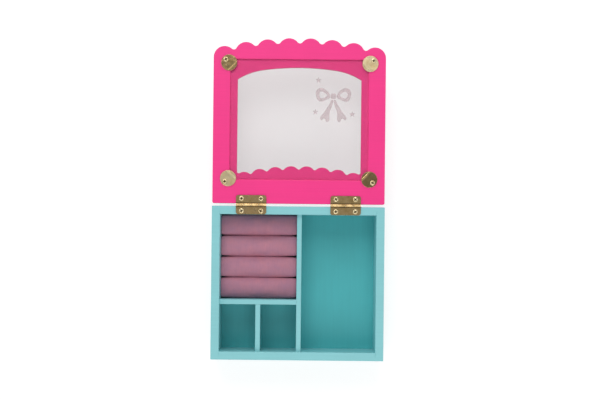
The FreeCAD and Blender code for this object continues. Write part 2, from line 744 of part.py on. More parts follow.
def turn_button(label, x, y, turn):
    """A brass disc on an off-centre screw, with a bead pressed across it from rim to rim."""
    body = new_body(label, x, lid_edge + y, size.box_height + size.button_lift, turn)
    disc = new_sketch(body, f"{label}_disc")
    add_circle(disc, size.button_offset, 0, size.button_radius)
    pad(body, disc, size.button_thickness)
    round_edges(body, f"{label}_easing", size.button_easing,
                lambda point: near(point.z, size.button_thickness))
    half = size.bead_width / 2
    bead_x = size.button_offset + size.bead_offset
    bead_radius = (half.squared() + size.bead_height.squared()) / (size.bead_height * 2)
    bead_top = size.button_thickness
    bead_length = (size.button_radius.squared() - (size.bead_offset - half).squared()).root() * 2
    bead = new_sketch(body, f"{label}_bead", "XZ_Plane", out=bead_length / -2)
    base = add_line(bead, (bead_x - half, bead_top), (bead_x + half, bead_top))
    arch = add_arc(bead, (bead_x, bead_top + size.bead_height - bead_radius), bead_radius,
                   (bead_x + half, bead_top), (bead_x - half, bead_top))
    pin(bead, base, START, bead_x - half, bead_top)
    pin(bead, base, END, bead_x + half, bead_top)
    join(bead, base, END, arch, START)
    join(bead, arch, END, base, START)
    pad(body, bead, bead_length)
    bead_reach = (size.button_radius.squared() + size.bead_offset * size.bead_width * 2).root()
    trim = new_sketch(body, f"{label}_bead_ends", out=bead_top)
    add_circle(trim, size.button_offset, 0, size.button_radius - size.bead_inset)
    add_circle(trim, size.button_offset, 0, bead_reach + size.bead_inset)
    pocket(body, trim, size.bead_height, up=True)
    sink = new_sketch(body, f"{label}_sink", "XZ_Plane")
    add_polygon(sink, [(0, 0), (pilot_radius, 0), (head_clearance, size.button_thickness),
                       (0, size.button_thickness)])
    turned(body, sink, "Groove")


def build_box():
    front_or_back_wall("front_wall", -1)
    back = front_or_back_wall("back_wall", 1)
    drill(back, "back_wall_screw_holes", hinge_screw_places(pin_y - size.screw_row),
          size.screw_length - size.leaf_thickness + size.running_gap, size.box_height)
    side_wall("left_wall", -1)
    side_wall("right_wall", 1)
    floor_panel()
    divider("long_divider", divider_left, -inside_y, divider_right, inside_y)
    divider("cross_divider", -inside_x, cross_front, divider_left, cross_back)
    middle = (divider_left - inside_x) / 2
    half = size.divider_thickness / 2
    divider("short_divider", middle - half, -inside_y, middle + half, cross_front)
    for number in range(1, ROLL_COUNT + 1):
        ring_roll(number)


def build_lid():
    lid_face_board()
    lid_back_frame()
    window_pane()
    for label, side, y, turn in (
        ("turn_button_back_left", -1, button_near, 45),
        ("turn_button_back_right", 1, button_near, 135),
        ("turn_button_front_left", -1, button_far, -45),
        ("turn_button_front_right", 1, button_far, -135),
    ):
        turn_button(label, button_x * side, y, turn)
    screw_group("turn_button_screws", -button_x, lid_edge + button_near,
                size.box_height + size.button_lift + size.button_thickness, size.button_thickness,
                (("X_Axis", button_x * 2), ("Y_Axis", button_far - button_near)))


def build_hinges():
    for name, side in (("left", -1), ("right", 1)):
        hinge_leaf(f"{name}_hinge_box_leaf", side, -1, 0)
        hinge_leaf(f"{name}_hinge_lid_leaf", side, 1, 1)
        hinge_pin(f"{name}_hinge_pin", side)
    leaf_top = size.box_height + size.leaf_thickness
    steps = (("X_Axis", size.screw_pitch), ("X_Axis", hinge_x * 2))
    screw_group("hinge_box_screws", first_screw_x, pin_y - size.screw_row, leaf_top,
                size.leaf_thickness, steps)
    screw_group("hinge_lid_screws", first_screw_x, pin_y + size.screw_row, leaf_top,
                size.leaf_thickness, steps)


def write_nodes():
    """Check every object of the document, then write each node to its own file."""
    doc.recompute()
    for thing in doc.Objects:
        if "Invalid" in thing.State or "Error" in thing.State:
            raise RuntimeError(f"{thing.Label} failed: {thing.State}")
    for body in nodes:
        if body.Shape.isNull() or not body.Shape.isValid():
            raise RuntimeError(f"{body.Label} has no valid shape")
    os.makedirs("parts", exist_ok=True)
    for body in nodes:
        body.Shape.exportStep(f"parts/{body.Label}.step")
        print(f"{body.Label}: {len(body.Shape.Solids)} solid(s), {body.Shape.Volume / 1000:.3f} cm3")


build_box()
build_lid()
build_hinges()
write_nodes()
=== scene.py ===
"""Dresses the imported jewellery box: painted boards, velvet rolls, a clear pane, brass and a studio."""
import math

import bmesh
import bpy
from mathutils import Matrix, Vector, noise


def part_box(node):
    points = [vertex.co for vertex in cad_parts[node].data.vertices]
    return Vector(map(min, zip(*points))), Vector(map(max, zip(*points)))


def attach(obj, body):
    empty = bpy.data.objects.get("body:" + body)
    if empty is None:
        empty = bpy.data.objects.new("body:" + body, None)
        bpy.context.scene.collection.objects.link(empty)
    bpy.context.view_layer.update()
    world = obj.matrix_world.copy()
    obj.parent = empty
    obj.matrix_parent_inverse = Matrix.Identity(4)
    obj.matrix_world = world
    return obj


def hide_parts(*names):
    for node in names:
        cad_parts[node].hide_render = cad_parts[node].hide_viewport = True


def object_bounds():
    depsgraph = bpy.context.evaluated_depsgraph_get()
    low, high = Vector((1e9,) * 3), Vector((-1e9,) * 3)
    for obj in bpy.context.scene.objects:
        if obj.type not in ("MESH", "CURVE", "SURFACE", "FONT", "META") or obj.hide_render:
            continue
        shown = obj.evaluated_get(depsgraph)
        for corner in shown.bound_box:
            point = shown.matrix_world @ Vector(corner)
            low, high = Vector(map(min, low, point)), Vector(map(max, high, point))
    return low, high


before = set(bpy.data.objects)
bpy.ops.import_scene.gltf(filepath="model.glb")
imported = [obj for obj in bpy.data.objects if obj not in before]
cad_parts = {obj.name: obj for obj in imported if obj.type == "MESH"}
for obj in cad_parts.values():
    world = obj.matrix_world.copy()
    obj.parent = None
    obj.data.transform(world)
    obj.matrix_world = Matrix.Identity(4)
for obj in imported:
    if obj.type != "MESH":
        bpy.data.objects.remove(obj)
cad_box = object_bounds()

bl_info = {
    "name": "Jewellery box finish",
    "version": (1, 0, 0),
    "blender": (4, 5, 0),
    "location": "View3D > Sidebar > Jewellery box",
    "description": "Paints, covers, glazes and lights a jewellery box with a window lid",
    "category": "Object",
}

MM = 0.001
WHITE = (1, 1, 1, 1)
# A Mix node has sockets of the same name for numbers and colours, so those of its colours are numbered.
MIX_SHARE = 0
MIX_FIRST = 6
MIX_SECOND = 7
MIXED = 2
# Points of a mesh that lie closer together than this are merged.
SAME_POINT = 0.001 * MM

BOX_BOARDS = ("front_wall", "back_wall", "left_wall", "right_wall",
              "long_divider", "cross_divider", "short_divider")
LID_BOARDS = ("lid_face_board", "lid_back_frame")
HINGE_PARTS = ("left_hinge_box_leaf", "left_hinge_lid_leaf", "left_hinge_pin",
               "right_hinge_box_leaf", "right_hinge_lid_leaf", "right_hinge_pin")
# Two turn buttons get a darker brass and two a brighter one: painted reflection, standing in for the dark
# and the bright surroundings that their flat faces mirror.
BUTTONS_PAINTED_DARK = ("turn_button_back_right", "turn_button_front_left")
BUTTONS_PAINTED_BRIGHT = ("turn_button_back_left", "turn_button_front_right")

# Each group of screws, with the body that it is driven into.
SCREW_GROUPS = (("hinge_box_screws", "box"), ("hinge_lid_screws", "lid"), ("turn_button_screws", "lid"))
# The angle at which each of the twelve screws stopped, in degrees.
SCREW_STOPS = (20, 68, 5, 41, 77, 0, 33, 52, 12, 60, 28, 84)
SCREW_SIDES = 48
CROWN_STEPS = 5
# The share of a screw's length that is straight, above its point.
STRAIGHT_SHANK = 0.75
# The share of a cross recess's length and width that is left at its bottom.
RECESS_TAPER = (0.4, 0.7, 1)

RING_ROLLS = ("ring_roll_1", "ring_roll_2", "ring_roll_3", "ring_roll_4")
STUFFING_FRAMES = 12
DENT_SIZE = 11 * MM
# Half the gap that is left between two rolls side by side.
SEAM_GAP = 0.06 * MM

# The printed bow, in millimetres from the middle of its knot. Its loop and tail are those of the right half.
BOW_KNOT = ((2.6, 0), (2.2, 2.2), (0, 2.8), (-2.2, 2.2), (-2.6, 0), (-2.2, -2.2), (0, -2.8), (2.2, -2.2))
BOW_LOOP = ((3.4, 1.0), (8, 6.5), (13, 8.2), (17, 5.5), (17.3, -0.5), (14, -5.2), (8, -4), (3.4, -1.0))
BOW_LOOP_HOLE = ((6.5, 0.8), (9, 3.4), (12, 4.6), (13.9, 3.2),
                 (14.1, 0.2), (12.3, -2.0), (9.5, -1.6), (7.4, -0.4))
BOW_TAIL = ((0.8, -3.6), (4, -8), (8.5, -15), (12.5, -24), (9, -22.5), (6, -26), (3.6, -16), (0.9, -8))
BOW_STARS = ((-18, -16), (19, -18), (-15, 16))
BOW_CURVE_STEPS = 6
STAR_POINTS = 5
STAR_RADIUS = 3.2 * MM
# How far out the corners between a star's points are, as a share of its radius.
STAR_WAIST = 0.45
# The ink lies this far under the pane, so that their faces don't meet.
INK_GAP = 0.01 * MM

# The studio, in metres, but the camera's sensor is in millimetres, as Blender takes it.
FLOOR_SIZE = 12
CAMERA_REACH = 20
SENSOR_WIDTH = 36


def srgb(code):
    """The linear red, green and blue of an sRGB hex colour."""
    parts = [int(code[at:at + 2], 16) / 255 for at in (1, 3, 5)]
    return [part / 12.92 if part <= 0.04045 else ((part + 0.055) / 1.055) ** 2.4 for part in parts]


class PaintSettings(bpy.types.PropertyGroup):
    """The paint of the box and of the lid."""

    box_colour: bpy.props.FloatVectorProperty(
        name="Box paint", description="Satin paint of the walls and dividers",
        subtype="COLOR", size=3, min=0, max=1, default=srgb("#8CD0D5"))
    # Painted shade: the floor gets a darker turquoise than the walls, standing in for the shade that falls
    # on the floors of the compartments.
    floor_colour: bpy.props.FloatVectorProperty(
        name="Floor paint", description="Thinner paint of the plywood floor of the box",
        subtype="COLOR", size=3, min=0, max=1, default=srgb("#52BEC2"))
    lid_colour: bpy.props.FloatVectorProperty(
        name="Lid paint", description="Satin paint of the two boards of the lid",
        subtype="COLOR", size=3, min=0, max=1, default=srgb("#FA348C"))
    rubbed_width: bpy.props.FloatProperty(
        name="Rubbed edge", description="How far in from an edge the paint is rubbed pale",
        subtype="DISTANCE", unit="LENGTH", min=0, precision=5, default=0.9 * MM)


class RollSettings(bpy.types.PropertyGroup):
    """The velvet cover of the ring rolls and how tightly it is stuffed."""

    velvet_colour: bpy.props.FloatVectorProperty(
        name="Velvet", description="Colour of the pile of the ring rolls",
        subtype="COLOR", size=3, min=0, max=1, default=srgb("#C98899"))
    nap_colour: bpy.props.FloatVectorProperty(
        name="Brushed nap", description="Colour of the pile where it is brushed the other way",
        subtype="COLOR", size=3, min=0, max=1, default=srgb("#BC849A"))
    bloom_colour: bpy.props.FloatVectorProperty(
        name="Bloom", description="Colour of the pile's tips, seen at grazing angles",
        subtype="COLOR", size=3, min=0, max=1, default=srgb("#E9C9DA"))
    slack: bpy.props.FloatProperty(
        name="Slack", description="How much smaller the cover starts before it is stuffed",
        subtype="DISTANCE", unit="LENGTH", min=0, precision=5, default=0.6 * MM)
    swell: bpy.props.FloatProperty(
        name="Swell", description="The furthest that the filling pushes the cover out",
        subtype="DISTANCE", unit="LENGTH", min=0, precision=5, default=1.0 * MM)
    press: bpy.props.FloatProperty(
        name="Press", description="How far each end of a stuffed roll is pressed flat against the box",
        subtype="DISTANCE", unit="LENGTH", min=0, precision=5, default=1.6 * MM)
    dent: bpy.props.FloatProperty(
        name="Dents", description="Depth of the soft hollows in a stuffed roll",
        subtype="DISTANCE", unit="LENGTH", min=0, precision=5, default=0.35 * MM)
    voxel: bpy.props.FloatProperty(
        name="Cover mesh", description="Size of the faces of the cover while it is stuffed",
        subtype="DISTANCE", unit="LENGTH", min=0.5 * MM, precision=5, default=1.5 * MM)
    pressure: bpy.props.FloatProperty(
        name="Pressure", description="How hard the filling pushes on the cover",
        min=0, default=4.0)


class BrassSettings(bpy.types.PropertyGroup):
    """The brass of the hinges, turn buttons and screws."""

    # Also the base colour of the two turn buttons painted bright, where it is painted reflection of bright
    # surroundings.
    bright_brass_and_painted_bright_reflection_colour: bpy.props.FloatVectorProperty(
        name="Bright brass", description="Brass under fresh lacquer",
        subtype="COLOR", size=3, min=0, max=1, default=srgb("#FFEEC0"))
    # Also the base colour of the two turn buttons painted dark, where it is painted reflection of dark
    # surroundings.
    dull_brass_and_painted_dark_reflection_colour: bpy.props.FloatVectorProperty(
        name="Dull brass", description="Brass under thin lacquer",
        subtype="COLOR", size=3, min=0, max=1, default=srgb("#DABC88"))
    # Also the film colour of the two turn buttons painted dark, where it is painted reflection.
    tarnish_and_painted_dark_reflection_colour: bpy.props.FloatVectorProperty(
        name="Tarnish", description="Brown film where the lacquer is thin",
        subtype="COLOR", size=3, min=0, max=1, default=srgb("#9A7F50"))
    # Painted shade: a dark colour laid into the brass's crevices, about 1 mm wide, where shade falls.
    painted_crevice_shade_colour: bpy.props.FloatVectorProperty(
        name="Painted crevice shade", description="Dark dirt in the crevices",
        subtype="COLOR", size=3, min=0, max=1, default=srgb("#4A3A22"))
    hinge_roughness: bpy.props.FloatProperty(
        name="Hinge roughness", description="Roughness of the hinges where they are clean",
        subtype="FACTOR", min=0, max=1, default=0.25)
    # The turn buttons painted dark and bright are one brass; their two roughnesses follow that split of
    # painted reflection.
    dark_painted_button_roughness: bpy.props.FloatProperty(
        name="Roughness of buttons painted dark",
        description="Roughness of the dull turn buttons where they are clean",
        subtype="FACTOR", min=0, max=1, default=0.18)
    bright_painted_button_roughness: bpy.props.FloatProperty(
        name="Roughness of buttons painted bright",
        description="Roughness of the bright turn buttons where they are clean",
        subtype="FACTOR", min=0, max=1, default=0.27)
    screw_roughness: bpy.props.FloatProperty(
        name="Screw roughness", description="Roughness of the screws where they are clean",
        subtype="FACTOR", min=0, max=1, default=0.4)
    recess_length: bpy.props.FloatProperty(
        name="Recess length", description="Length of each arm of a screw's cross recess, end to end",
        subtype="DISTANCE", unit="LENGTH", min=0, precision=5, default=3.6 * MM)
    recess_width: bpy.props.FloatProperty(
        name="Recess width", description="Width of each arm of a screw's cross recess",
        subtype="DISTANCE", unit="LENGTH", min=0, precision=5, default=0.9 * MM)
    recess_depth: bpy.props.FloatProperty(
        name="Recess depth", description="Depth of a screw's cross recess",
        subtype="DISTANCE", unit="LENGTH", min=0, precision=5, default=1.3 * MM)
    shank_radius: bpy.props.FloatProperty(
        name="Shank radius", description="Radius of a wood screw below its head",
        subtype="DISTANCE", unit="LENGTH", min=0, precision=5, default=1.2 * MM)
    head_room: bpy.props.FloatProperty(
        name="Head room", description="Gap between a screw's head and its countersunk hole",
        subtype="DISTANCE", unit="LENGTH", min=0, precision=5, default=0.2 * MM)
    crown: bpy.props.FloatProperty(
        name="Crown", description="How far the middle of a screw's head stands over its rim",
        subtype="DISTANCE", unit="LENGTH", min=0, precision=5, default=0.2 * MM)
    head_depth: bpy.props.FloatProperty(
        name="Head depth", description="Depth of a screw's countersunk head, below its rim",
        subtype="DISTANCE", unit="LENGTH", min=0, precision=5, default=0.8 * MM)


class PaneSettings(bpy.types.PropertyGroup):
    """The clear pane and the pale bow printed on it."""

    # Partly painted shade: the grey is darker than clear acrylic's own and stands in for the shade under the
    # lid seen through the sheet.
    tint: bpy.props.FloatVectorProperty(
        name="Acrylic", description="Faint tint of the clear sheet",
        subtype="COLOR", size=3, min=0, max=1, default=srgb("#E0DFDF"))
    print_colour: bpy.props.FloatVectorProperty(
        name="Print", description="Pale ink of the bow",
        subtype="COLOR", size=3, min=0, max=1, default=srgb("#CDB2B6"))
    print_alpha: bpy.props.FloatProperty(
        name="Ink cover", description="How much the ink hides what is behind it",
        subtype="FACTOR", min=0, max=1, default=0.34)
    film: bpy.props.FloatProperty(
        name="Ink film", description="Thickness of the printed film",
        subtype="DISTANCE", unit="LENGTH", min=0.01 * MM, precision=5, default=0.06 * MM)
    bow_across: bpy.props.FloatProperty(
        name="Bow across", description="Place of the knot to the right of the pane's middle",
        subtype="DISTANCE", unit="LENGTH", precision=5, default=34 * MM)
    bow_up: bpy.props.FloatProperty(
        name="Bow up", description="Place of the knot towards the crest from the pane's middle",
        subtype="DISTANCE", unit="LENGTH", precision=5, default=24 * MM)


class StudioSettings(bpy.types.PropertyGroup):
    """The camera over the box, the floor, the room and the lamps."""

    camera_rise: bpy.props.FloatProperty(
        name="Camera rise", description="Height of the camera over the rim of the box",
        subtype="DISTANCE", unit="LENGTH", min=0.1, default=1.4)
    frame_width: bpy.props.FloatProperty(
        name="Frame width", description="Width of the picture, measured at the rim of the box",
        subtype="DISTANCE", unit="LENGTH", min=0.1, default=0.6)
    camera_x: bpy.props.FloatProperty(
        name="Camera aside", description="How far the camera stands to the right of the box's middle",
        subtype="DISTANCE", unit="LENGTH", precision=5, default=1.9 * MM)
    camera_y: bpy.props.FloatProperty(
        name="Camera back", description="How far the camera stands behind the box's middle",
        subtype="DISTANCE", unit="LENGTH", precision=5, default=53.5 * MM)
    shift: bpy.props.FloatProperty(
        name="Rise of the lens", description="Upward shift of the lens, as a share of the picture's width",
        min=-1, max=1, default=0.05)
    roll: bpy.props.FloatProperty(
        name="Camera roll", description="Turn of the camera about its own line of sight",
        subtype="ANGLE", unit="ROTATION", precision=4, default=math.radians(0.6))
    softbox_size: bpy.props.FloatProperty(
        name="Softbox", description="Side of each of the two softboxes",
        subtype="DISTANCE", unit="LENGTH", min=0.1, default=0.85)
    back_offset: bpy.props.FloatVectorProperty(
        name="Back softbox place",
        description="Place of the softbox beyond the lid, from the middle of the object",
        subtype="TRANSLATION", unit="LENGTH", size=3, default=(-0.15, 0.85, 1.2))
    back_watts: bpy.props.FloatProperty(
        name="Back softbox", description="Power of the softbox beyond the lid",
        subtype="POWER", unit="POWER", min=0, default=7.5)
    front_offset: bpy.props.FloatVectorProperty(
        name="Front softbox place",
        description="Place of the softbox before the box, from the middle of the object",
        subtype="TRANSLATION", unit="LENGTH", size=3, default=(0, -0.75, 1.2))
    front_watts: bpy.props.FloatProperty(
        name="Front softbox", description="Power of the softbox before the box",
        subtype="POWER", unit="POWER", min=0, default=5.0)
    floor_colour: bpy.props.FloatVectorProperty(
        name="Floor", description="Colour of the paper under the box",
        subtype="COLOR", size=3, min=0, max=1, default=srgb("#B4B4B4"))
    floor_glow: bpy.props.FloatProperty(
        name="Floor glow", description="Light added to the paper where it is seen or mirrored",
        subtype="FACTOR", min=0, max=1, default=0.68)
    wall_light: bpy.props.FloatProperty(
        name="Walls", description="Brightness of the walls of the room",
        subtype="FACTOR", min=0, max=1, default=1.0)
    ceiling_light: bpy.props.FloatProperty(
        name="Ceiling", description="Brightness of the ceiling of the room",
        subtype="FACTOR", min=0, max=1, default=0.17)


class JewelBoxSettings(bpy.types.PropertyGroup):
    """All that a user would change."""

    paint: bpy.props.PointerProperty(
        type=PaintSettings, name="Paint", description="Paint of the box and the lid")
    rolls: bpy.props.PointerProperty(
        type=RollSettings, name="Ring rolls", description="Velvet of the ring rolls")
    brass: bpy.props.PointerProperty(
        type=BrassSettings, name="Brass", description="Brass of the fittings")
    pane: bpy.props.PointerProperty(
        type=PaneSettings, name="Pane", description="Pane of the lid")
    studio: bpy.props.PointerProperty(
        type=StudioSettings, name="Studio", description="Camera, floor, room and lamps")


def add_node(tree, kind, sockets=None, **settings):
    """Add a node with its settings, and give its sockets numbers, colours or other nodes' outputs."""
    made = tree.nodes.new(kind)
    for name, value in settings.items():
        setattr(made, name, value)
    for socket, value in (sockets or {}).items():
        if isinstance(value, bpy.types.NodeSocket):
            tree.links.new(value, made.inputs[socket])
        else:
            made.inputs[socket].default_value = value
    return made


def new_material(name):
    """An empty node material and its tree."""
    material = bpy.data.materials.new(name)
    material.use_nodes = True
    material.node_tree.nodes.clear()
    return material, material.node_tree


def opaque(colour, strength=1.0):
    """A linear colour with its alpha, made lighter or darker."""
    return [channel * strength for channel in colour] + [1.0]


def dress(piece, material):
    """Give a piece or a CAD node one material all over."""
    if not piece.material_slots:
        piece.data.materials.append(material)
    for slot in piece.material_slots:
        slot.material = material


def alone(piece):
    """Make a piece the only selected object, and the active one."""
    bpy.ops.object.select_all(action="DESELECT")
    piece.select_set(True)
    bpy.context.view_layer.objects.active = piece


def modify(piece, kind, **settings):
    """Add a modifier with its settings and apply it at once."""
    modifier = piece.modifiers.new(kind.title(), kind)
    for name, value in settings.items():
        setattr(modifier, name, value)
    alone(piece)
    bpy.ops.object.modifier_apply(modifier=modifier.name)


def settle(piece, name, body, slot, material, *nodes):
    """Name a finished piece, put its place into its mesh, dress it and let it ride on a body."""
    alone(piece)
    bpy.ops.object.transform_apply(location=True, rotation=True, scale=True)
    piece.name = name
    piece.data.name = name
    dress(piece, material)
    if nodes:
        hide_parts(*nodes)
    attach(piece, body)


def twin(piece):
    """A copy of a piece with its own mesh."""
    copy = piece.copy()
    copy.data = piece.data.copy()
    bpy.context.scene.collection.objects.link(copy)
    return copy


def merged(pieces):
    """Join several objects into the first."""
    alone(pieces[0])
    for piece in pieces[1:]:
        piece.select_set(True)
    bpy.ops.object.join()
    return pieces[0]


def rubbed_edges(tree, place, rubbed_width, patches, glue_lines):
    """How much of the paint is rubbed off: some along each edge, and none where two boards are glued.

    Each glue line is a distance from the object's origin along one axis, the same to both sides.
    """
    # The dot product of the true normal with a rounded one is 1 on a flat face and falls at an edge.
    flat, edge = 0.99, 0.8
    glue_width = 1.5 * MM
    rounded = add_node(tree, "ShaderNodeBevel", {"Radius": rubbed_width}, samples=6)
    normal = add_node(tree, "ShaderNodeNewGeometry").outputs["Normal"]
    turn = add_node(tree, "ShaderNodeVectorMath", {
        0: rounded.outputs["Normal"], 1: normal}, operation="DOT_PRODUCT")
    rub = add_node(tree, "ShaderNodeMapRange", {
        "Value": turn.outputs["Value"], "From Min": flat, "From Max": edge, "To Min": 0.0,
        "To Max": patches}).outputs["Result"]
    folded = add_node(tree, "ShaderNodeVectorMath", {0: place}, operation="ABSOLUTE")
    distance = add_node(tree, "ShaderNodeSeparateXYZ", {"Vector": folded.outputs["Vector"]})
    for axis, line in glue_lines.items():
        glued = add_node(tree, "ShaderNodeMath", {
            0: distance.outputs[axis], 1: line, 2: glue_width}, operation="COMPARE")
        free = add_node(tree, "ShaderNodeMath", {0: 1.0, 1: glued.outputs["Value"]}, operation="SUBTRACT")
        left = add_node(tree, "ShaderNodeMath", {0: rub, 1: free.outputs["Value"]}, operation="MULTIPLY")
        rub = left.outputs["Value"]
    return rub


def satin_paint(name, colour, rubbed_width, streak_along, glue_lines):
    """Satin paint rolled on board.

    An even colour with soft clouds about 30 mm across, fine roller lines, an orange peel of about
    1 mm in the gloss, and outer edges that handling has rubbed paler. Where two boards are glued
    the edge is filled and painted over, so it isn't rubbed.
    """
    cloud_size = 30 * MM
    # Roller lines are finer than 1 mm; they are drawn 1.5 mm apart so that they show.
    line_gap, line_length = 1.5 * MM, 60 * MM
    patch_size = 5 * MM
    peel_size, peel_depth = 1.1 * MM, 0.05 * MM
    paint_left, primer_shown = 0.75, 0.2
    material, tree = new_material(name)
    place = add_node(tree, "ShaderNodeTexCoord").outputs["Object"]
    clouds = add_node(tree, "ShaderNodeTexNoise", {"Vector": place, "Scale": 1 / cloud_size, "Detail": 2.0})
    cloudy = add_node(tree, "ShaderNodeMix", {
        MIX_SHARE: clouds.outputs["Fac"], MIX_FIRST: opaque(colour, 0.95),
        MIX_SECOND: opaque(colour, 1.04)}, data_type="RGBA")
    line_scale = [1 / line_length if axis == streak_along else 1 / line_gap for axis in "XYZ"]
    line_place = add_node(tree, "ShaderNodeMapping", {"Vector": place, "Scale": line_scale})
    lines = add_node(tree, "ShaderNodeTexNoise", {
        "Vector": line_place.outputs["Vector"], "Scale": 1.0, "Detail": 2.0})
    line_shade = add_node(tree, "ShaderNodeMapRange", {
        "Value": lines.outputs["Fac"], "From Min": 0.25, "From Max": 0.75, "To Min": 0.97, "To Max": 1.02})
    lined = add_node(tree, "ShaderNodeVectorMath", {
        0: cloudy.outputs[MIXED], "Scale": line_shade.outputs["Result"]}, operation="SCALE")
    patches = add_node(tree, "ShaderNodeTexNoise", {"Vector": place, "Scale": 1 / patch_size, "Detail": 3.0})
    rub = rubbed_edges(tree, place, rubbed_width, patches.outputs["Fac"], glue_lines)
    pale = [channel * paint_left + primer_shown for channel in colour]
    worn = add_node(tree, "ShaderNodeMix", {
        MIX_SHARE: rub, MIX_FIRST: lined.outputs["Vector"],
        MIX_SECOND: opaque(pale)}, data_type="RGBA")
    peel = add_node(tree, "ShaderNodeTexNoise", {"Vector": place, "Scale": 1 / peel_size, "Detail": 1.0})
    bump = add_node(tree, "ShaderNodeBump", {
        "Strength": 0.12, "Distance": peel_depth, "Height": peel.outputs["Fac"]})
    gloss = add_node(tree, "ShaderNodeMapRange", {
        "Value": patches.outputs["Fac"], "To Min": 0.38, "To Max": 0.52})
    shader = add_node(tree, "ShaderNodeBsdfPrincipled", {
        "Base Color": worn.outputs[MIXED], "Roughness": gloss.outputs["Result"], "IOR": 1.5,
        "Normal": bump.outputs["Normal"]})
    add_node(tree, "ShaderNodeOutputMaterial", {"Surface": shader.outputs["BSDF"]})
    return material


def short_velvet(name, colour, nap, bloom):
    """Short-pile polyester velvet.

    A dusty pink that turns greyer where the pile is brushed the other way, in patches about 9 mm
    across, with fine cross lines of the backing and a soft bloom at grazing angles.
    """
    patch_size = 9 * MM
    # The backing has some 12 threads to the centimetre; its lines are drawn 1.2 mm apart so that they show.
    thread_gap, thread_length = 1.2 * MM, 9 * MM
    pile_size, pile_depth = 0.6 * MM, 0.25 * MM
    material, tree = new_material(name)
    place = add_node(tree, "ShaderNodeTexCoord").outputs["Object"]
    brushed = add_node(tree, "ShaderNodeTexNoise", {
        "Vector": place, "Scale": 1 / patch_size, "Detail": 3.0, "Roughness": 0.6})
    patch = add_node(tree, "ShaderNodeMapRange", {
        "Value": brushed.outputs["Fac"], "From Min": 0.3, "From Max": 0.7})
    napped = add_node(tree, "ShaderNodeMix", {
        MIX_SHARE: patch.outputs["Result"], MIX_FIRST: opaque(colour),
        MIX_SECOND: opaque(nap)}, data_type="RGBA")
    thread_place = add_node(tree, "ShaderNodeMapping", {
        "Vector": place, "Scale": (1 / thread_gap, 1 / thread_length, 1 / thread_length)})
    threads = add_node(tree, "ShaderNodeTexNoise", {
        "Vector": thread_place.outputs["Vector"], "Scale": 1.0, "Detail": 2.0})
    thread_shade = add_node(tree, "ShaderNodeMapRange", {
        "Value": threads.outputs["Fac"], "From Min": 0.3, "From Max": 0.7, "To Min": 0.97, "To Max": 1.025})
    lined = add_node(tree, "ShaderNodeVectorMath", {
        0: napped.outputs[MIXED], "Scale": thread_shade.outputs["Result"]}, operation="SCALE")
    pile = add_node(tree, "ShaderNodeTexNoise", {
        "Vector": place, "Scale": 1 / pile_size, "Detail": 2.0, "Roughness": 0.7})
    bump = add_node(tree, "ShaderNodeBump", {
        "Strength": 0.5, "Distance": pile_depth, "Height": pile.outputs["Fac"]})
    shader = add_node(tree, "ShaderNodeBsdfPrincipled", {
        "Base Color": lined.outputs["Vector"], "Roughness": 0.9, "Specular IOR Level": 0.2,
        "Sheen Weight": 0.35, "Sheen Roughness": 0.4, "Sheen Tint": opaque(bloom),
        "Normal": bump.outputs["Normal"]})
    add_node(tree, "ShaderNodeOutputMaterial", {"Surface": shader.outputs["BSDF"]})
    return material


